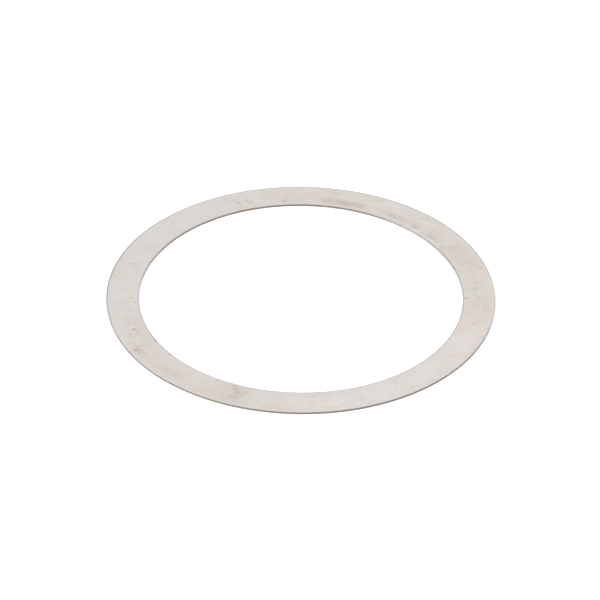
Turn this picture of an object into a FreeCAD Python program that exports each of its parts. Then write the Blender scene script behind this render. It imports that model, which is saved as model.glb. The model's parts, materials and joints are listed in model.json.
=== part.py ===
import FreeCAD, Part
import os

# Bottom bracket spacer: a flat steel ring, blanked from thin sheet in one stroke.
# It lies with its lower face on Z = 0 and its axis along +Z. Lengths are in millimetres.

# Driving dimensions
bore_diameter = 35.0        # slips over the 34.8 mm thread of a bottom bracket cup
rim_width = 3.5             # from the bore wall to the outer wall
sheet_thickness = 0.3
edge_roll_width = 0.2       # how far in from each wall the upper face starts to roll over
edge_roll_depth = 0.05      # how far it has dropped where it meets the wall

# Sizes that follow
bore_radius = bore_diameter / 2.0
outer_radius = bore_radius + rim_width
wall_height = sheet_thickness - edge_roll_depth


def section_point(radius, height):
    return FreeCAD.Vector(radius, 0.0, height)


def straight_edge(start, end):
    return Part.LineSegment(start, end).toShape()


# The arc is tangent to the upper face where it starts, so its radius follows from its width and depth
def edge_roll(flat_radius, wall_radius):
    arc_radius = (edge_roll_width ** 2 + edge_roll_depth ** 2) / (2.0 * edge_roll_depth)
    middle_radius = (flat_radius + wall_radius) / 2.0
    middle_drop = arc_radius - (arc_radius ** 2 - (edge_roll_width / 2.0) ** 2) ** 0.5
    start = section_point(flat_radius, sheet_thickness)
    middle = section_point(middle_radius, sheet_thickness - middle_drop)
    end = section_point(wall_radius, wall_height)
    return Part.Arc(start, middle, end).toShape()


# The ring's section, turned once round the axis
def spacer_ring():
    lower_inner = section_point(bore_radius, 0.0)
    lower_outer = section_point(outer_radius, 0.0)
    wall_top_outer = section_point(outer_radius, wall_height)
    wall_top_inner = section_point(bore_radius, wall_height)
    flat_outer_radius = outer_radius - edge_roll_width
    flat_inner_radius = bore_radius + edge_roll_width
    flat_outer = section_point(flat_outer_radius, sheet_thickness)
    flat_inner = section_point(flat_inner_radius, sheet_thickness)

    section = Part.Wire([
        straight_edge(lower_inner, lower_outer),
        straight_edge(lower_outer, wall_top_outer),
        edge_roll(flat_outer_radius, outer_radius),
        straight_edge(flat_outer, flat_inner),
        edge_roll(flat_inner_radius, bore_radius),
        straight_edge(wall_top_inner, lower_inner),
    ])
    axis = FreeCAD.Vector(0.0, 0.0, 1.0)
    return Part.Face(section).revolve(FreeCAD.Vector(0.0, 0.0, 0.0), axis, 360.0)


os.makedirs("parts", exist_ok=True)
spacer_ring().exportStep("parts/spacer_ring.step")
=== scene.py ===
import bmesh
import bpy
import json
import math
from mathutils import Matrix, Vector, kdtree, noise


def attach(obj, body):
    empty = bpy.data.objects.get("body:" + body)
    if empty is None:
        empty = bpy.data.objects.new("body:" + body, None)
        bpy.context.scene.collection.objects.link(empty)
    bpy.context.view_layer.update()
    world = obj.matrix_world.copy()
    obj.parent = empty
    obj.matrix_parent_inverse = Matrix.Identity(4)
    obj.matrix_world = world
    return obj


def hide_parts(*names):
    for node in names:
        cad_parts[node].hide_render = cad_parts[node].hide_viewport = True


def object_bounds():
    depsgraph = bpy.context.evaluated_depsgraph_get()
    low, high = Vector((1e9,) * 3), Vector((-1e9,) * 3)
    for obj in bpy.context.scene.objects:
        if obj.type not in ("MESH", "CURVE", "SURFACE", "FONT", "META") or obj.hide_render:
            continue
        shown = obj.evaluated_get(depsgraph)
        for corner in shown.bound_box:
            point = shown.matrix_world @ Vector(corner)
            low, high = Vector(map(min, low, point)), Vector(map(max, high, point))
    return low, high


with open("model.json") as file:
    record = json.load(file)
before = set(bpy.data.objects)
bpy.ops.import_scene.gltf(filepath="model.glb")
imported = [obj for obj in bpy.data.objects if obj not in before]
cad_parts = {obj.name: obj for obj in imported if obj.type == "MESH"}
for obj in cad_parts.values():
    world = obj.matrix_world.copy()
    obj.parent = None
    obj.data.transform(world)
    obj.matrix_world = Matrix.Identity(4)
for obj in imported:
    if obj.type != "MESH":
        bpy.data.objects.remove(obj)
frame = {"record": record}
cadLow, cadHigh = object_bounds()
mm = 0.001  # the frame is in metres
boreRadius = next(m for m in frame["record"]["mounts"] if m["name"] == "bore")["dims"]["r_mm"] * mm
outerRadius = max(cadHigh.x, cadHigh.y)
thickness = cadHigh.z
print("frame: bore", round(2 * boreRadius / mm, 2), "outside", round(2 * outerRadius / mm, 2),
      "sheet", round(thickness / mm, 2))


def linearColour(hexCode):
    channels = [int(hexCode[i:i + 2], 16) / 255 for i in (1, 3, 5)]
    return [c / 12.92 if c <= 0.04045 else ((c + 0.055) / 1.055) ** 2.4 for c in channels] + [1.0]


def addNode(tree, kind, values={}, links={}, **settings):
    node = tree.nodes.new(kind)
    for name, value in settings.items():
        setattr(node, name, value)
    for name, value in values.items():
        node.inputs[name].default_value = value
    for name, socket in links.items():
        tree.links.new(socket, node.inputs[name])
    return node


def ringPoint(angle, radius):  # a place on the ring, in mm, by degrees from +X towards +Y
    turn = math.radians(angle)
    return radius * math.cos(turn), radius * math.sin(turn)


def lengthwise(angle, turn):  # turns the ring so that a mark's length runs along X
    return Matrix.Rotation(-math.radians(angle + 90 + turn), 3, "Z")


# Cold-rolled steel sheet, bright and lightly oiled: a pale warm grey with a soft satin gloss, clouded in straw,
# pink and cool tints by thin oxide and finger marks, with a fine grain and faint rolling lines. Both rims are
# rubbed a little cleaner than the middle of the face, and end in a thin line of painted shade, darker towards +Y
# on the outer rim and towards -Y at the bore, with a faint ring of painted shade where each edge starts to roll
# over. Sizes here are in mm.
sheet = {
    "clean": "#C0BCB8",
    "clouds": {  # colour, share, size, noise seed
        "warmCloud": ("#B9AEA6", 0.4, 3.2, 0.0),
        "coolCloud": ("#C0BEBC", 0.35, 3.2, 17.3),
        "strawCloud": ("#BDB7A9", 0.5, 1.3, 41.9),
        "pinkCloud": ("#C2B9B8", 0.5, 1.1, 63.2),
    },
    "cloudNoise": (0.35, 0.7),  # noise values between which a cloud goes from nothing to its share
    "facesApart": 40,  # how far the noise is stretched in height, so that the two faces differ
    "rubbedRim": "#C2BEBB",
    "mottleSize": 0.8,
    "mottleDepth": 0.03,
    "grainSize": 0.16,  # real rolling grain is some 0.02 wide, drawn coarser so that it shows
    "grainDepth": 0.07,
    "rollingLineWidth": 0.22,
    "rollingLineLength": 5.0,
    "rollingLineDepth": 0.03,
    "patternNoise": (0.25, 0.75),  # noise values at which grain, mottle and lines are darkest and lightest
    "rimWidth": 0.42,  # the rubbed band along each rim
    "rimShare": 0.4,
    "rimBlur": 0.06,
    "paintedCreaseShadeWidth": 0.05,  # a faint ring of painted shade where the edge begins to roll over
    "paintedCreaseShade": 0.97,
    # a thin line of painted shade along each rim, where the rolled edge faces away from the camera
    "paintedRimShadeWidth": 0.15,
    "paintedRimShadeBlur": 0.05,
    "paintedRimShadeToward": (-0.3, 0.95, 0),  # the painted rim shade changes along this direction
    "paintedRimShadeFrom": -0.15,  # where the change starts and ends, in outer radii from the axis
    "paintedRimShadeTo": 0.6,
    "outerPaintedRimShade": (0.93, 0.42),  # what it leaves of the colour, at the start and at the end
    "innerPaintedRimShade": (0.76, 0.9),
    "roughness": 0.42,
    "cloudRoughness": 0.08,
    "stainRoughness": 0.12,
    "grainBump": 0.0012,
    "breakUpSize": 0.3,  # speckle that breaks up the marks
    "breakUpNoise": (0.35, 0.65),
    "breakUpRange": (0.5, 1.3),
}

# A mark's border strays by up to the reach, in mm, and it fades between these shares of its own half sizes
border = {"reach": 0.12, "size": 0.45, "full": 0.1, "gone": 1.5}

# Marks on the upper face, kept as mesh attributes that the sheet's material reads. Each place is an angle in
# degrees, a radius, a half length, a half width, how the length lies from the tangent, and a strength.
marks = {
    "beigeBloom": {
        "colour": "#B4A79B",  # thin brownish oxide and finger marks
        "places": [
            (223.7, 19.9, 1.2, 0.7, 0, 0.45),
            (228.0, 19.6, 2.4, 0.9, 0, 0.28),
            (186.1, 19.3, 0.9, 0.9, 0, 0.3),
            (188.5, 18.9, 0.5, 0.6, 0, 0.3),
            (243.5, 20.1, 3.8, 0.7, 0, 0.32),
            (354.0, 20.0, 1.6, 0.4, 0, 0.4),
            (357.0, 19.0, 2.0, 1.2, 0, 0.25),
            (8.0, 19.2, 3.0, 1.1, 0, 0.12),
            (350.0, 19.8, 2.0, 0.6, 0, 0.3),
            (24.0, 19.2, 3.5, 1.3, 0, 0.3),
            (38.0, 18.6, 2.5, 0.9, 0, 0.3),
            (47.0, 18.45, 1.2, 0.6, 0, 0.45),
            (55.0, 18.5, 3.0, 0.7, 0, 0.3),
            (76.0, 18.4, 3.0, 0.7, 0, 0.42),
            (79.0, 20.0, 1.6, 0.5, 0, 0.2),
            (93.0, 19.0, 4.5, 1.0, 0, 0.2),
            (210.0, 19.3, 2.6, 1.5, 0, 0.32),
            (199.0, 18.9, 3.0, 1.4, 0, 0.25),
            (220.0, 20.2, 2.0, 0.5, 0, 0.16),
            (66.0, 18.3, 4.5, 0.5, 0, 0.12),
            (35.0, 18.3, 3.6, 0.5, 0, 0.16),
            (22.0, 20.3, 4.5, 0.5, 0, 0.14),
            (50.0, 20.3, 2.6, 0.5, 0, 0.12),
            (80.0, 20.3, 2.0, 0.5, 0, 0.14),
        ],
    },
    "strawFilm": {
        "colour": "#C3BDA8",  # the thinnest oxide, straw yellow
        "places": [
            (350.0, 20.1, 2.0, 0.6, 0, 0.18),
            (0.5, 18.3, 1.8, 0.5, 0, 0.2),
            (269.0, 19.9, 2.6, 0.9, 0, 0.16),
            (249.0, 19.8, 2.0, 0.8, 0, 0.1),
            (60.0, 20.2, 1.8, 0.6, 0, 0.14),
            (65.0, 18.3, 3.5, 0.5, 0, 0.14),
            (140.0, 19.6, 2.0, 0.9, 0, 0.12),
            (180.0, 19.2, 1.6, 1.0, 0, 0.1),
            (280.0, 20.2, 3.0, 0.5, 0, 0.1),
        ],
    },
    "greyStainAndPaintedShade": {
        "colour": "#8D8781",  # smudges, specks, pits and fine lines, and painted shade in one knock
        "places": [
            (81.0, 18.5, 1.2, 0.6, 0, 0.24),
            (75.6, 18.3, 0.36, 0.3, 0, 0.55),
            (73.4, 18.25, 0.5, 0.28, 0, 0.45),
            (75.0, 18.35, 1.5, 0.6, 0, 0.22),
            (70.0, 18.4, 1.1, 0.6, 0, 0.25),
            (69.2, 18.35, 0.3, 0.3, 0, 0.5),
            (85.9, 19.3, 0.15, 0.2, 0, 0.4),
            (95.7, 18.25, 0.25, 0.22, 0, 0.5),
            (96.3, 18.1, 0.6, 0.2, 0, 0.25),
            (108.7, 19.1, 0.22, 0.28, 0, 0.45),
            (107.6, 18.7, 0.28, 0.24, 0, 0.4),
            (111.9, 19.1, 0.28, 0.25, 0, 0.4),
            (114.8, 19.9, 0.25, 0.2, 0, 0.35),
            (112.7, 19.7, 0.2, 0.2, 0, 0.3),
            (112.0, 18.1, 0.2, 0.15, 0, 0.3),
            (110.8, 17.8, 0.3, 0.12, 0, 0.3),
            (119.5, 19.1, 0.25, 0.25, 0, 0.25),
            (64.8, 20.3, 0.2, 0.2, 0, 0.3),
            (56.0, 18.3, 1.6, 0.3, 0, 0.25),
            (46.6, 18.2, 0.4, 0.32, 0, 0.35),
            (42.0, 17.95, 0.5, 0.25, 0, 0.22),
            (37.5, 18.2, 1.0, 0.25, 0, 0.25),
            (30.6, 18.0, 0.5, 0.3, 0, 0.3),
            (28.9, 19.3, 0.9, 0.6, 20, 0.3),
            (24.5, 19.5, 0.4, 0.3, 0, 0.25),
            (20.0, 19.2, 0.3, 0.25, 0, 0.2),
            (15.2, 20.3, 0.3, 0.2, 0, 0.25),
            (8.1, 19.2, 0.15, 0.15, 0, 0.4),
            (4.5, 18.9, 0.3, 0.3, 0, 0.2),
            (359.0, 17.85, 0.2, 0.2, 0, 0.5),
            (0.2, 19.25, 0.12, 0.12, 0, 0.5),
            (344.9, 19.2, 0.3, 0.3, 0, 0.25),
            (340.3, 19.5, 0.2, 0.2, 0, 0.25),
            (339.2, 20.7, 0.2, 0.15, 0, 0.4),
            (330.6, 18.6, 0.22, 0.18, 0, 0.3),
            (270.3, 18.9, 0.16, 0.2, 0, 0.5),
            (273.8, 19.3, 0.4, 0.2, 0, 0.2),
            (182.5, 18.3, 0.3, 0.14, 90, 0.3),
            (185.2, 17.95, 0.22, 0.14, 90, 0.5),
            (162.8, 19.2, 0.55, 0.1, -72, 0.45),
            (163.2, 18.9, 0.2, 0.12, -72, 0.4),
            (170.5, 19.9, 1.0, 0.07, -80, 0.3),
            (165.5, 20.0, 0.7, 0.06, -76, 0.3),
            (167.6, 18.9, 0.8, 0.06, -78, 0.25),
            (176.8, 19.3, 1.5, 0.06, -87, 0.2),
            (168.8, 20.3, 0.6, 0.06, -79, 0.25),
            (172.0, 19.5, 1.4, 0.06, -80, 0.25),
            (174.5, 19.0, 1.2, 0.06, -80, 0.2),
            (162.0, 20.5, 0.4, 0.3, 0, 0.2),
            # painted shade inside the knock at 200 degrees, with its painted highlight among the bright marks
            (200.2, 18.95, 0.24, 0.15, 60, 0.95),
            (201.9, 19.6, 0.25, 0.2, 0, 0.25),
            (202.6, 18.8, 0.3, 0.2, 0, 0.25),
            (210.7, 20.2, 0.5, 0.42, 30, 0.5),
            (211.8, 20.1, 1.1, 0.5, 0, 0.25),
            (209.1, 17.7, 0.25, 0.12, 0, 0.5),
            (218.8, 17.65, 0.25, 0.12, 0, 0.45),
            (249.3, 18.7, 1.2, 0.38, -51, 0.42),
            (250.4, 18.8, 1.2, 0.8, -45, 0.2),
            (247.4, 17.95, 0.5, 0.3, -30, 0.35),
            (249.3, 19.7, 0.8, 0.55, 0, 0.3),
            (252.2, 18.55, 0.3, 0.22, 0, 0.3),
            (248.0, 18.9, 1.5, 1.1, 0, 0.16),
            (240.8, 18.0, 0.2, 0.2, 0, 0.25),
            (250.0, 20.2, 1.6, 0.5, 0, 0.1),
            (250.0, 18.2, 1.6, 0.4, 0, 0.09),
        ],
    },
    "coolFilm": {
        "colour": "#BDBEBD",  # wiped places with no warm tint
        "places": [
            (122.0, 19.3, 6.0, 1.7, 0, 0.3),
            (142.0, 19.3, 6.0, 1.7, 0, 0.55),
            (160.0, 19.3, 4.0, 1.7, 0, 0.35),
            (182.0, 19.8, 4.0, 1.3, 0, 0.35),
            (198.0, 20.2, 3.2, 0.8, 0, 0.4),
            (207.0, 19.5, 1.4, 0.9, 60, 0.3),
            (102.0, 19.8, 4.0, 1.0, 0, 0.2),
            (60.0, 20.2, 5.0, 0.8, 0, 0.15),
            (300.0, 18.2, 3.5, 0.7, 0, 0.35),
            (331.0, 18.0, 1.6, 0.6, 0, 0.4),
            (150.0, 18.5, 3.0, 0.8, 0, 0.4),
            (170.0, 18.2, 1.8, 0.5, 0, 0.35),
            (284.0, 18.2, 4.0, 0.5, 0, 0.4),
            (260.0, 18.7, 1.8, 0.9, 0, 0.4),
            (218.0, 18.5, 5.0, 0.7, 0, 0.2),
            (189.5, 18.2, 1.4, 0.5, 0, 0.3),
        ],
    },
    "brightRubAndPaintedLight": {
        "colour": "#CFC9C9",  # metal rubbed bright, and painted light: broad patches lighten the face towards the front right, and one spot is a painted highlight beside a knock
        "places": [
            (352.5, 19.5, 1.1, 0.12, 0, 0.4),
            # painted highlight beside the knock at 200 degrees
            (198.8, 19.15, 0.2, 0.15, 60, 0.95),
            (328.2, 20.3, 0.25, 0.15, 0, 0.5),
            (324.9, 20.3, 0.22, 0.15, 0, 0.6),
            (319.8, 20.6, 0.25, 0.12, 0, 0.5),
            (324.0, 20.45, 1.5, 0.3, 0, 0.3),
            (44.5, 17.8, 0.8, 0.12, 0, 0.6),
            # painted light: these broad patches make the face lighter towards the front right (-Y, +X)
            (270.0, 19.2, 2.2, 1.4, 0, 0.3),
            (282.0, 19.3, 3.0, 1.4, 0, 0.4),
            (298.0, 19.3, 6.0, 1.6, 0, 0.4),
            (316.0, 19.3, 5.0, 1.6, 0, 0.4),
            (334.0, 19.2, 4.5, 1.5, 0, 0.45),
            (40.0, 17.72, 4.2, 0.1, 0, 0.5),
            (330.0, 20.0, 2.4, 0.6, 0, 0.55),
            (29.0, 19.3, 2.0, 0.45, 0, 0.25),
        ],
    },
}


def rolledSteel():
    material = bpy.data.materials.new("coldRolledSteel")
    material.use_nodes = True
    tree = material.node_tree
    shader = tree.nodes["Principled BSDF"]
    shader.inputs["Metallic"].default_value = 1.0

    place = addNode(tree, "ShaderNodeTexCoord").outputs["Object"]
    inMm = addNode(tree, "ShaderNodeVectorMath", {"Scale": 1 / mm}, {0: place}, operation="SCALE").outputs[0]
    twoSided = addNode(tree, "ShaderNodeMapping", {"Scale": (1, 1, sheet["facesApart"])}, {"Vector": inMm}).outputs[0]
    flat = addNode(tree, "ShaderNodeVectorMath", {1: (1, 1, 0)}, {0: inMm}, operation="MULTIPLY").outputs[0]
    speckle = addNode(tree, "ShaderNodeTexNoise", {"Scale": 1 / sheet["breakUpSize"], "Detail": 2.0},
                      {"Vector": flat}).outputs["Fac"]
    fromLow, fromHigh = sheet["breakUpNoise"]
    toLow, toHigh = sheet["breakUpRange"]
    breakUp = addNode(tree, "ShaderNodeMapRange",
                      {"From Min": fromLow, "From Max": fromHigh, "To Min": toLow, "To Max": toHigh},
                      {"Value": speckle}).outputs["Result"]

    halfRim = (outerRadius - boreRadius) / mm / 2
    radius = addNode(tree, "ShaderNodeVectorMath", {}, {0: flat}, operation="LENGTH").outputs["Value"]
    fromMiddle = addNode(tree, "ShaderNodeMath", {1: boreRadius / mm + halfRim}, {0: radius},
                         operation="SUBTRACT").outputs[0]
    reach = addNode(tree, "ShaderNodeMath", {}, {0: fromMiddle}, operation="ABSOLUTE").outputs[0]

    colour = addNode(tree, "ShaderNodeRGB").outputs[0]
    colour.default_value = linearColour(sheet["clean"])
    shares = {}
    for name, (cloudColour, share, size, seed) in sheet["clouds"].items():
        drift = addNode(tree, "ShaderNodeTexNoise", {"W": seed, "Scale": 1 / size, "Detail": 4.0},
                        {"Vector": twoSided}, noise_dimensions="4D").outputs["Fac"]
        fromLow, fromHigh = sheet["cloudNoise"]
        shares[name] = addNode(tree, "ShaderNodeMapRange", {"From Min": fromLow, "From Max": fromHigh, "To Max": share},
                               {"Value": drift}, interpolation_type="SMOOTHSTEP").outputs["Result"]
        colour = addNode(tree, "ShaderNodeMix", {7: linearColour(cloudColour)}, {0: shares[name], 6: colour},
                         data_type="RGBA").outputs[2]

    rimStart = halfRim - sheet["rimWidth"]
    rubbed = addNode(tree, "ShaderNodeMapRange",
                     {"From Min": rimStart - sheet["rimBlur"], "From Max": rimStart + sheet["rimBlur"],
                      "To Max": sheet["rimShare"]},
                     {"Value": reach}, interpolation_type="SMOOTHSTEP").outputs["Result"]
    colour = addNode(tree, "ShaderNodeMix", {7: linearColour(sheet["rubbedRim"])}, {0: rubbed, 6: colour},
                     data_type="RGBA").outputs[2]

    markShare = None
    # marks: real stains and rubs, with painted light and painted shade among them
    for name, kind in marks.items():
        spread = addNode(tree, "ShaderNodeAttribute", attribute_name=name).outputs["Fac"]
        shown = addNode(tree, "ShaderNodeMath", {}, {0: spread, 1: breakUp},
                        operation="MULTIPLY", use_clamp=True).outputs[0]
        colour = addNode(tree, "ShaderNodeMix", {7: linearColour(kind["colour"])}, {0: shown, 6: colour},
                         data_type="RGBA").outputs[2]
        if markShare is None:
            markShare = shown
        else:
            markShare = addNode(tree, "ShaderNodeMath", {}, {0: markShare, 1: shown}, operation="MAXIMUM").outputs[0]

    factors = []
    # painted shade: a thin dark line along each rim, deeper towards +Y on the outer rim and towards -Y at the bore
    paintedRimShadeStart = halfRim - sheet["paintedRimShadeWidth"]
    toward = addNode(tree, "ShaderNodeVectorMath", {1: sheet["paintedRimShadeToward"]}, {0: flat},
                     operation="DOT_PRODUCT").outputs["Value"]
    for side, (start, end) in ((1, sheet["outerPaintedRimShade"]), (-1, sheet["innerPaintedRimShade"])):
        left = addNode(tree, "ShaderNodeMapRange",
                       {"From Min": sheet["paintedRimShadeFrom"] * outerRadius / mm,
                        "From Max": sheet["paintedRimShadeTo"] * outerRadius / mm, "To Min": start, "To Max": end},
                       {"Value": toward}).outputs["Result"]
        factors.append(addNode(tree, "ShaderNodeMapRange",
                               {"From Min": side * (paintedRimShadeStart - sheet["paintedRimShadeBlur"]),
                                "From Max": side * (paintedRimShadeStart + sheet["paintedRimShadeBlur"]), "To Min": 1.0},
                               {"Value": fromMiddle, "To Max": left},
                               interpolation_type="SMOOTHSTEP").outputs["Result"])
    # painted shade: a faint darker ring where the edge begins to roll over
    atPaintedCreaseShade = addNode(tree, "ShaderNodeMath", {1: rimStart, 2: sheet["paintedCreaseShadeWidth"]}, {0: reach},
                       operation="COMPARE").outputs[0]
    factors.append(addNode(tree, "ShaderNodeMapRange", {"To Min": 1.0, "To Max": sheet["paintedCreaseShade"]},
                           {"Value": atPaintedCreaseShade}).outputs["Result"])
    grain = addNode(tree, "ShaderNodeTexNoise", {"Scale": 1 / sheet["grainSize"], "Detail": 2.0},
                    {"Vector": twoSided}).outputs["Fac"]
    mottle = addNode(tree, "ShaderNodeTexNoise", {"Scale": 1 / sheet["mottleSize"], "Detail": 3.0},
                     {"Vector": twoSided}).outputs["Fac"]
    drawn = addNode(tree, "ShaderNodeMapping",
                    {"Scale": (1 / sheet["rollingLineLength"], 1 / sheet["rollingLineWidth"], 1)},
                    {"Vector": twoSided}).outputs[0]
    lines = addNode(tree, "ShaderNodeTexNoise", {"Scale": 1.0, "Detail": 2.0}, {"Vector": drawn}).outputs["Fac"]
    fromLow, fromHigh = sheet["patternNoise"]
    patterns = ((grain, sheet["grainDepth"]), (mottle, sheet["mottleDepth"]), (lines, sheet["rollingLineDepth"]))
    for pattern, depth in patterns:
        factors.append(addNode(tree, "ShaderNodeMapRange",
                               {"From Min": fromLow, "From Max": fromHigh, "To Min": 1 - depth, "To Max": 1 + depth},
                               {"Value": pattern}).outputs["Result"])
    for factor in factors:
        colour = addNode(tree, "ShaderNodeVectorMath", {}, {0: colour, "Scale": factor}, operation="SCALE").outputs[0]
    tree.links.new(colour, shader.inputs["Base Color"])

    dulled = addNode(tree, "ShaderNodeMapRange",
                     {"To Min": sheet["roughness"], "To Max": sheet["roughness"] + sheet["stainRoughness"]},
                     {"Value": markShare}).outputs["Result"]
    uneven = addNode(tree, "ShaderNodeMath", {1: sheet["cloudRoughness"]}, {0: shares["warmCloud"]},
                     operation="MULTIPLY").outputs[0]
    rough = addNode(tree, "ShaderNodeMath", {}, {0: dulled, 1: uneven}, operation="ADD").outputs[0]
    tree.links.new(rough, shader.inputs["Roughness"])

    bump = addNode(tree, "ShaderNodeBump", {"Distance": sheet["grainBump"] * mm}, {"Height": grain})
    tree.links.new(bump.outputs[0], shader.inputs["Normal"])
    return material


# The same steel where the die sheared it: a smooth burnished land above and a torn, darker land below, dull
# because the tear scatters light. Fine upright drag lines cross both. Sizes here are in mm.
shear = {
    "burnished": "#928B86",
    "torn": "#89827D",
    "burnishedRoughness": 0.3,
    "tornRoughness": 0.6,
    "tearHeight": 0.13,
    "tearWander": 0.03,
    "tearBlur": 0.02,
    "dragLineWidth": 0.08,
    "dragLineStretch": 10,  # how much longer than wide the drag lines are
    "dragLineDepth": 0.12,
    "dragLineNoise": (0.25, 0.75),
}

# Stretches of the smooth land given painted shade or a painted highlight, kept as mesh attributes too: painted shade
# where the walls face -Y and on the outer wall towards the left, and a painted highlight on one stretch of the bore's
# wall. Each place is a rim (1 for the outer one, -1 for the bore), its middle and half length in degrees, and a
# strength.
stretches = {
    "paintedWallShade": {"colour": "#716B67", "places": [(1, 288, 62, 1.0), (-1, 102, 60, 0.85)]},
    "deepPaintedWallShade": {"colour": "#56514E", "places": [(1, 200, 16, 1.0)]},
    "paintedWallHighlight": {"colour": "#BDB8B4", "places": [(-1, 44, 17, 0.85)]},
}


def shearedSteel():
    material = bpy.data.materials.new("shearedSteelEdge")
    material.use_nodes = True
    tree = material.node_tree
    shader = tree.nodes["Principled BSDF"]
    shader.inputs["Metallic"].default_value = 1.0

    place = addNode(tree, "ShaderNodeTexCoord").outputs["Object"]
    inMm = addNode(tree, "ShaderNodeVectorMath", {"Scale": 1 / mm}, {0: place}, operation="SCALE").outputs[0]
    height = addNode(tree, "ShaderNodeSeparateXYZ", {}, {0: inMm}).outputs["Z"]
    upright = addNode(tree, "ShaderNodeMapping", {"Scale": (1, 1, 1 / shear["dragLineStretch"])},
                      {"Vector": inMm}).outputs[0]
    drag = addNode(tree, "ShaderNodeTexNoise", {"Scale": 1 / shear["dragLineWidth"], "Detail": 2.0},
                   {"Vector": upright}).outputs["Fac"]
    raised = addNode(tree, "ShaderNodeMath", {1: 2 * shear["tearWander"], 2: -shear["tearWander"]}, {0: drag},
                     operation="MULTIPLY_ADD").outputs[0]
    edge = addNode(tree, "ShaderNodeMath", {}, {0: height, 1: raised}, operation="ADD").outputs[0]
    land = addNode(tree, "ShaderNodeMapRange",
                   {"From Min": shear["tearHeight"] - shear["tearBlur"],
                    "From Max": shear["tearHeight"] + shear["tearBlur"]},
                   {"Value": edge}, interpolation_type="SMOOTHSTEP").outputs["Result"]
    smooth = addNode(tree, "ShaderNodeRGB").outputs[0]
    smooth.default_value = linearColour(shear["burnished"])
    # painted shade and a painted highlight on stretches of the smooth land
    for name, kind in stretches.items():
        spread = addNode(tree, "ShaderNodeAttribute", attribute_name=name).outputs["Fac"]
        smooth = addNode(tree, "ShaderNodeMix", {7: linearColour(kind["colour"])}, {0: spread, 6: smooth},
                         data_type="RGBA").outputs[2]
    colour = addNode(tree, "ShaderNodeMix", {6: linearColour(shear["torn"])}, {0: land, 7: smooth},
                     data_type="RGBA").outputs[2]
    fromLow, fromHigh = shear["dragLineNoise"]
    depth = shear["dragLineDepth"]
    factor = addNode(tree, "ShaderNodeMapRange",
                     {"From Min": fromLow, "From Max": fromHigh, "To Min": 1 - depth, "To Max": 1 + depth},
                     {"Value": drag}).outputs["Result"]
    colour = addNode(tree, "ShaderNodeVectorMath", {}, {0: colour, "Scale": factor}, operation="SCALE").outputs[0]
    tree.links.new(colour, shader.inputs["Base Color"])
    rough = addNode(tree, "ShaderNodeMapRange",
                    {"To Min": shear["tornRoughness"], "To Max": shear["burnishedRoughness"]},
                    {"Value": land}).outputs["Result"]
    tree.links.new(rough, shader.inputs["Roughness"])
    return material


# The ring's section, swept round its axis. Sizes here are in mm.
ring = {
    "edgeRollWidth": 0.2,
    "edgeRollDepth": 0.05,
    "tearHeight": shear["tearHeight"],
    "tearTaper": 0.012,  # the torn land leans into the metal
    "tearRagged": 0.008,
    "tearGrain": 0.09,
    "margin": 0.01,  # points this near a wall belong to it, and this far below the tear line are torn
    "weld": 0.0005,
    "wallNormal": 0.5,  # faces whose normal rises less than this are walls
    "sharpAngle": 35,  # degrees
    "knockFall": 2,  # a knock's depth falls off as a bell curve, and ends at this many of its half sizes
    "knockEnd": 1.5,
    "around": 1500,  # from here on, counts of points
    "upperDivisions": 34,
    "lowerDivisions": 7,
    "landDivisions": 3,
    "rollDivisions": 5,
}


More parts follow.
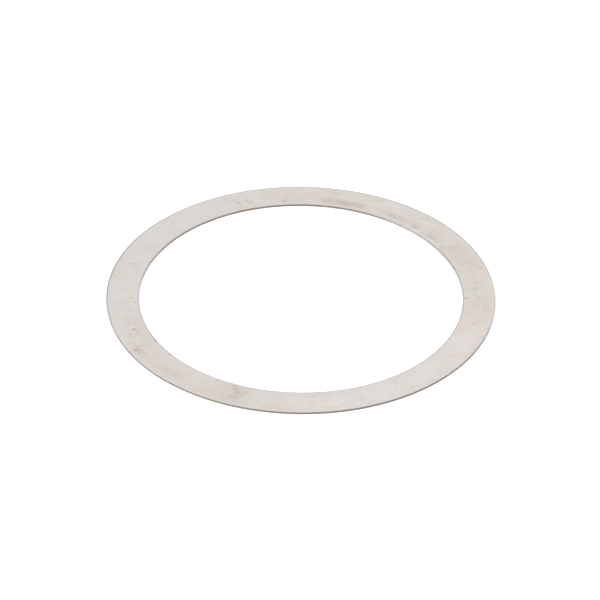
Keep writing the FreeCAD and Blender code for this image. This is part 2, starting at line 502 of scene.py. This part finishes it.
def ringTree(faceMaterial, wallMaterial):
    tree = bpy.data.node_groups.new("blankedRing", "GeometryNodeTree")
    sizes = {
        "boreRadius": boreRadius, "outerRadius": outerRadius, "thickness": thickness,
        "edgeRollWidth": ring["edgeRollWidth"] * mm, "edgeRollDepth": ring["edgeRollDepth"] * mm,
        "tearHeight": ring["tearHeight"] * mm, "tearTaper": ring["tearTaper"] * mm,
        "tearRagged": ring["tearRagged"] * mm, "tearGrain": ring["tearGrain"] * mm,
    }
    counts = {name: ring[name]
              for name in ("around", "upperDivisions", "lowerDivisions", "landDivisions", "rollDivisions")}
    socketIds = {}
    for name in sizes:
        socketIds[name] = tree.interface.new_socket(name, in_out="INPUT", socket_type="NodeSocketFloat").identifier
    for name in counts:
        socketIds[name] = tree.interface.new_socket(name, in_out="INPUT", socket_type="NodeSocketInt").identifier
    for name in ("faceMaterial", "wallMaterial"):
        socketIds[name] = tree.interface.new_socket(name, in_out="INPUT", socket_type="NodeSocketMaterial").identifier
    tree.interface.new_socket("ring", in_out="OUTPUT", socket_type="NodeSocketGeometry")
    given = addNode(tree, "NodeGroupInput").outputs

    # The section's X runs outwards from the middle of the rim, and its Y points down once it is swept
    lengths = {name: given[name] for name in sizes}
    for name, first, operation, second in (
        ("diameterSum", "outerRadius", "ADD", "boreRadius"),
        ("middle", "diameterSum", "MULTIPLY", 0.5),
        ("outerWall", "outerRadius", "SUBTRACT", "middle"),
        ("boreWall", "boreRadius", "SUBTRACT", "middle"),
        ("outerFoot", "outerWall", "SUBTRACT", "tearTaper"),
        ("boreFoot", "boreWall", "ADD", "tearTaper"),
        ("halfRoll", "edgeRollWidth", "MULTIPLY", 0.5),
        ("outerKnee", "outerWall", "SUBTRACT", "halfRoll"),
        ("boreKnee", "boreWall", "ADD", "halfRoll"),
        ("outerFlat", "outerWall", "SUBTRACT", "edgeRollWidth"),
        ("boreFlat", "boreWall", "ADD", "edgeRollWidth"),
        ("ground", "thickness", "MULTIPLY", 0.0),
        ("tearLine", "tearHeight", "MULTIPLY", -1.0),
        ("wallTop", "edgeRollDepth", "SUBTRACT", "thickness"),
        ("face", "thickness", "MULTIPLY", -1.0),
    ):
        node = addNode(tree, "ShaderNodeMath", {}, {0: lengths[first]}, operation=operation)
        if isinstance(second, str):
            tree.links.new(lengths[second], node.inputs[1])
        else:
            node.inputs[1].default_value = second
        lengths[name] = node.outputs[0]

    corners = {}
    for name, across, up in (
        ("boreFoot", "boreFoot", "ground"), ("outerFoot", "outerFoot", "ground"),
        ("outerTear", "outerWall", "tearLine"), ("boreTear", "boreWall", "tearLine"),
        ("outerWallTop", "outerWall", "wallTop"), ("boreWallTop", "boreWall", "wallTop"),
        ("outerKnee", "outerKnee", "face"), ("boreKnee", "boreKnee", "face"),
        ("outerFlat", "outerFlat", "face"), ("boreFlat", "boreFlat", "face"),
    ):
        corners[name] = addNode(tree, "ShaderNodeCombineXYZ", {}, {"X": lengths[across], "Y": lengths[up]}).outputs[0]

    section = addNode(tree, "GeometryNodeJoinGeometry")
    for start, end, count in (
        ("boreFoot", "outerFoot", "lowerDivisions"),
        ("outerFoot", "outerTear", "landDivisions"), ("outerTear", "outerWallTop", "landDivisions"),
        ("outerFlat", "boreFlat", "upperDivisions"),
        ("boreWallTop", "boreTear", "landDivisions"), ("boreTear", "boreFoot", "landDivisions"),
    ):
        line = addNode(tree, "GeometryNodeCurvePrimitiveLine", {}, {"Start": corners[start], "End": corners[end]})
        divided = addNode(tree, "GeometryNodeResampleCurve", {}, {"Curve": line.outputs[0], "Count": given[count]})
        tree.links.new(divided.outputs[0], section.inputs[0])
    for start, knee, end in (("outerWallTop", "outerKnee", "outerFlat"), ("boreFlat", "boreKnee", "boreWallTop")):
        roll = addNode(tree, "GeometryNodeCurveQuadraticBezier", {},
                       {"Resolution": given["rollDivisions"],
                        "Start": corners[start], "Middle": corners[knee], "End": corners[end]})
        tree.links.new(roll.outputs[0], section.inputs[0])

    circle = addNode(tree, "GeometryNodeCurvePrimitiveCircle", {},
                     {"Resolution": given["around"], "Radius": lengths["middle"]})
    swept = addNode(tree, "GeometryNodeCurveToMesh", {},
                    {"Curve": circle.outputs[0], "Profile Curve": section.outputs[0]})
    closed = addNode(tree, "GeometryNodeMergeByDistance", {"Distance": ring["weld"] * mm},
                     {"Geometry": swept.outputs[0]})

    # The torn land is pushed unevenly into the metal on both walls
    position = addNode(tree, "GeometryNodeInputPosition").outputs[0]
    flat = addNode(tree, "ShaderNodeVectorMath", {1: (1, 1, 0)}, {0: position}, operation="MULTIPLY").outputs[0]
    radius = addNode(tree, "ShaderNodeVectorMath", {}, {0: flat}, operation="LENGTH").outputs["Value"]
    outward = addNode(tree, "ShaderNodeVectorMath", {}, {0: flat}, operation="NORMALIZE").outputs[0]
    fromMiddle = addNode(tree, "ShaderNodeMath", {}, {0: radius, 1: lengths["middle"]},
                         operation="SUBTRACT").outputs[0]
    side = addNode(tree, "ShaderNodeMath", {}, {0: fromMiddle}, operation="SIGN").outputs[0]
    reach = addNode(tree, "ShaderNodeMath", {}, {0: fromMiddle}, operation="ABSOLUTE").outputs[0]
    nearWall = addNode(tree, "ShaderNodeMath", {1: ring["margin"] * mm}, {0: lengths["outerFoot"]},
                       operation="SUBTRACT").outputs[0]
    isWall = addNode(tree, "FunctionNodeCompare", {}, {0: reach, 1: nearWall}, operation="GREATER_THAN").outputs[0]
    height = addNode(tree, "ShaderNodeSeparateXYZ", {}, {0: position}).outputs["Z"]
    lowered = addNode(tree, "ShaderNodeMath", {1: ring["margin"] * mm}, {0: lengths["tearHeight"]},
                      operation="SUBTRACT").outputs[0]
    isLow = addNode(tree, "FunctionNodeCompare", {}, {0: height, 1: lowered}, operation="LESS_THAN").outputs[0]
    isTorn = addNode(tree, "FunctionNodeBooleanMath", {}, {0: isWall, 1: isLow}, operation="AND").outputs[0]
    fineness = addNode(tree, "ShaderNodeMath", {0: 1.0}, {1: given["tearGrain"]}, operation="DIVIDE").outputs[0]
    ragged = addNode(tree, "ShaderNodeTexNoise", {"Detail": 2.0},
                     {"Vector": position, "Scale": fineness}).outputs["Fac"]
    depth = addNode(tree, "ShaderNodeMath", {}, {0: ragged, 1: given["tearRagged"]}, operation="MULTIPLY").outputs[0]
    inward = addNode(tree, "ShaderNodeMath", {}, {0: depth, 1: side}, operation="MULTIPLY").outputs[0]
    push = addNode(tree, "ShaderNodeMath", {1: -1.0}, {0: inward}, operation="MULTIPLY").outputs[0]
    offset = addNode(tree, "ShaderNodeVectorMath", {}, {0: outward, "Scale": push}, operation="SCALE").outputs[0]
    torn = addNode(tree, "GeometryNodeSetPosition", {},
                   {"Geometry": closed.outputs[0], "Selection": isTorn, "Offset": offset})

    real = addNode(tree, "GeometryNodeRealizeInstances", {}, {"Geometry": torn.outputs[0]})
    faced = addNode(tree, "GeometryNodeSetMaterial", {},
                    {"Geometry": real.outputs[0], "Material": given["faceMaterial"]})
    normal = addNode(tree, "GeometryNodeInputNormal").outputs[0]
    normalUp = addNode(tree, "ShaderNodeSeparateXYZ", {}, {0: normal}).outputs["Z"]
    rise = addNode(tree, "ShaderNodeMath", {}, {0: normalUp}, operation="ABSOLUTE").outputs[0]
    upright = addNode(tree, "FunctionNodeCompare", {1: ring["wallNormal"]}, {0: rise}, operation="LESS_THAN").outputs[0]
    walled = addNode(tree, "GeometryNodeSetMaterial", {},
                     {"Geometry": faced.outputs[0], "Selection": upright, "Material": given["wallMaterial"]})
    addNode(tree, "NodeGroupOutput", {}, {0: walled.outputs[0]})
    return tree, socketIds, {**sizes, **counts, "faceMaterial": faceMaterial, "wallMaterial": wallMaterial}


# Small knocks in the upper face, pressed into the mesh: angle, radius, half length, half width, turn, depth in mm
knocks = [
    (200.2, 19.0, 0.28, 0.16, 35, 0.035),
    (209.1, 17.65, 0.25, 0.12, 0, 0.02),
    (218.8, 17.62, 0.22, 0.12, 0, 0.02),
    (329.1, 20.4, 0.2, 0.12, 20, 0.012),
    (324.9, 20.35, 0.2, 0.12, -20, 0.012),
    (320.1, 20.7, 0.22, 0.12, 10, 0.015),
    (339.2, 20.75, 0.2, 0.14, 0, 0.02),
]


def faded(away, strength):  # smoothly from its full strength to nothing across a mark's border
    left = min(max((border["gone"] - away) / (border["gone"] - border["full"]), 0.0), 1.0)
    return strength * left * left * (3 - 2 * left)


def spreadMarks(mesh):
    rollStart = thickness - ring["edgeRollDepth"] * mm
    upper = [vertex for vertex in mesh.vertices if vertex.co.z > rollStart]
    nearby = kdtree.KDTree(len(upper))
    for vertex in upper:
        nearby.insert((vertex.co.x / mm, vertex.co.y / mm, 0), vertex.index)
    nearby.balance()
    for name, kind in marks.items():
        spread = [0.0] * len(mesh.vertices)
        for angle, radius, halfLength, halfWidth, turn, strength in kind["places"]:
            middle = Vector((*ringPoint(angle, radius), 0))
            turned = lengthwise(angle, turn)
            farthest = border["gone"] * max(halfLength, halfWidth) + border["reach"]
            for place, index, _ in nearby.find_range(middle, farthest):
                stray = noise.noise_vector(place / border["size"]) * border["reach"]
                local = turned @ (place + stray - middle)
                away = math.hypot(local.x / halfLength, local.y / halfWidth)
                spread[index] = max(spread[index], faded(away, strength))
        mesh.attributes.new(name, "FLOAT", "POINT").data.foreach_set("value", spread)

    middleRadius = (boreRadius + outerRadius) / 2
    for name, kind in stretches.items():
        spread = [0.0] * len(mesh.vertices)
        for rim, angle, halfLength, strength in kind["places"]:
            towards = Vector(ringPoint(angle, 1))
            for vertex in mesh.vertices:
                if (vertex.co.xy.length > middleRadius) == (rim > 0):
                    away = math.degrees(towards.angle(vertex.co.xy)) / halfLength
                    spread[vertex.index] = max(spread[vertex.index], faded(away, strength))
        mesh.attributes.new(name, "FLOAT", "POINT").data.foreach_set("value", spread)


def spacerRing(faceMaterial, wallMaterial):
    tree, socketIds, inputs = ringTree(faceMaterial, wallMaterial)
    blank = bpy.data.objects.new("ringBlank", bpy.data.meshes.new("ringBlank"))
    bpy.context.scene.collection.objects.link(blank)
    modifier = blank.modifiers.new("blankedRing", "NODES")
    modifier.node_group = tree
    for name, value in inputs.items():
        modifier[socketIds[name]] = value
    mesh = bpy.data.meshes.new_from_object(blank.evaluated_get(bpy.context.evaluated_depsgraph_get()))
    bpy.data.objects.remove(blank)

    shape = bmesh.new()
    shape.from_mesh(mesh)
    bmesh.ops.remove_doubles(shape, verts=shape.verts, dist=ring["weld"] * mm)
    bmesh.ops.recalc_face_normals(shape, faces=shape.faces)
    faceBottom = thickness - 1.5 * ring["edgeRollDepth"] * mm  # the knocks leave what is lower alone
    for angle, radius, halfLength, halfWidth, turn, depth in knocks:
        middle = Vector((*ringPoint(angle, radius), 0)) * mm
        turned = lengthwise(angle, turn)
        for vertex in shape.verts:
            if vertex.co.z < faceBottom:
                continue
            local = turned @ (vertex.co - middle)
            away = math.hypot(local.x / halfLength, local.y / halfWidth) / mm
            if away < ring["knockEnd"]:
                vertex.co.z -= depth * mm * math.exp(-ring["knockFall"] * away * away)
    for edge in shape.edges:
        edge.smooth = edge.calc_face_angle(math.pi) < math.radians(ring["sharpAngle"])
    for face in shape.faces:
        face.smooth = True
    shape.to_mesh(mesh)
    shape.free()
    spreadMarks(mesh)

    piece = bpy.data.objects.new("spacerRing", mesh)
    mesh.name = "spacerRing"
    bpy.context.scene.collection.objects.link(piece)
    return piece


piece = spacerRing(rolledSteel(), shearedSteel())
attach(piece, "root")
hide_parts("spacer_ring")
print("ring:", len(piece.data.polygons), "faces, materials", [m.name for m in piece.data.materials])

# Matt white card under the ring, wide enough to fill every view
card = {
    "colour": "#FAFAF9",
    "roughness": 0.9,
    "specular": 0.1,
    "halfWidth": 1.5,
    "drop": 0.01 * mm,  # keeps it clear of the ring's own lower face
}


def paleFloor():
    material = bpy.data.materials.new("mattWhiteCard")
    material.use_nodes = True
    shader = material.node_tree.nodes["Principled BSDF"]
    shader.inputs["Base Color"].default_value = linearColour(card["colour"])
    shader.inputs["Roughness"].default_value = card["roughness"]
    shader.inputs["Specular IOR Level"].default_value = card["specular"]
    mesh = bpy.data.meshes.new("floor")
    half, level = card["halfWidth"], cadLow.z - card["drop"]
    corners = [(x * half, y * half, level) for x, y in ((-1, -1), (1, -1), (1, 1), (-1, 1))]
    mesh.from_pydata(corners, [], [(0, 1, 2, 3)])
    mesh.materials.append(material)
    floor = bpy.data.objects.new("floor", mesh)
    bpy.context.scene.collection.objects.link(floor)


paleFloor()

# A pale tent, so that the metal has something even to mirror. It is greyer down to the table, which the walls
# mirror, and one soft lamp low at the front left lights them there.
studio = {
    "tentStrength": 1.388,
    "horizon": 0.42,  # what is left of the tent's light at the table, and straight above
    "zenith": 1.04,
    "brightFrom": 0.36,  # height on a sphere round the ring, 1 being straight up
    "lampAt": (-0.29, -0.29, 0.12),
    "lampSize": 0.2,
    "lampWatts": 2.0,
}


def studioLight():
    world = bpy.data.worlds.new("whiteTent")
    world.use_nodes = True
    tree = world.node_tree
    direction = addNode(tree, "ShaderNodeTexCoord").outputs["Generated"]
    height = addNode(tree, "ShaderNodeSeparateXYZ", {}, {0: direction}).outputs["Z"]
    low = addNode(tree, "ShaderNodeMapRange",
                  {"From Max": studio["brightFrom"], "To Min": studio["horizon"], "To Max": 1.0},
                  {"Value": height}).outputs["Result"]
    high = addNode(tree, "ShaderNodeMapRange",
                   {"From Min": studio["brightFrom"], "From Max": 1.0,
                    "To Min": studio["tentStrength"], "To Max": studio["tentStrength"] * studio["zenith"]},
                   {"Value": height}).outputs["Result"]
    strength = addNode(tree, "ShaderNodeMath", {}, {0: low, 1: high}, operation="MULTIPLY").outputs[0]
    background = tree.nodes["Background"]
    background.inputs["Color"].default_value = (1.0, 1.0, 1.0, 1.0)
    tree.links.new(strength, background.inputs["Strength"])
    bpy.context.scene.world = world
    light = bpy.data.lights.new("softLamp", "AREA")
    light.size = studio["lampSize"]
    light.energy = studio["lampWatts"]
    lamp = bpy.data.objects.new("softLamp", light)
    lamp.location = studio["lampAt"]
    lamp.rotation_euler = (-Vector(studio["lampAt"])).to_track_quat("-Z", "Y").to_euler()
    bpy.context.scene.collection.objects.link(lamp)
    bpy.context.scene.view_settings.view_transform = "Standard"


studioLight()

# The photograph's view: a long lens, looking down along +Y
view = {
    "distance": 461.5 * mm,
    "elevation": 35.5,
    "roll": 0.54,
    "lens": 256.3,
    "sensor": 36.0,
    "ringRight": 0.08 * mm,  # how far the ring's centre stands right of and above the picture's
    "ringUp": 0.29 * mm,
}


def photoCamera():
    data = bpy.data.cameras.new("photoCamera")
    data.lens = view["lens"]
    data.sensor_width = view["sensor"]
    data.clip_start = 10 * mm
    data.clip_end = 10.0
    slope = math.radians(view["elevation"])
    right = Vector((1, 0, 0))
    up = Vector((0, math.sin(slope), math.cos(slope)))
    back = Vector((0, -math.cos(slope), math.sin(slope)))
    camera = bpy.data.objects.new("photoCamera", data)
    place = back * view["distance"] - right * view["ringRight"] - up * view["ringUp"]
    facing = Matrix((right, up, back)).transposed() @ Matrix.Rotation(math.radians(view["roll"]), 3, "Z")
    camera.matrix_world = Matrix.Translation(place) @ facing.to_4x4()
    bpy.context.scene.collection.objects.link(camera)
    bpy.context.scene.camera = camera


photoCamera()
print("stage: card, tent, lamp and camera are set")
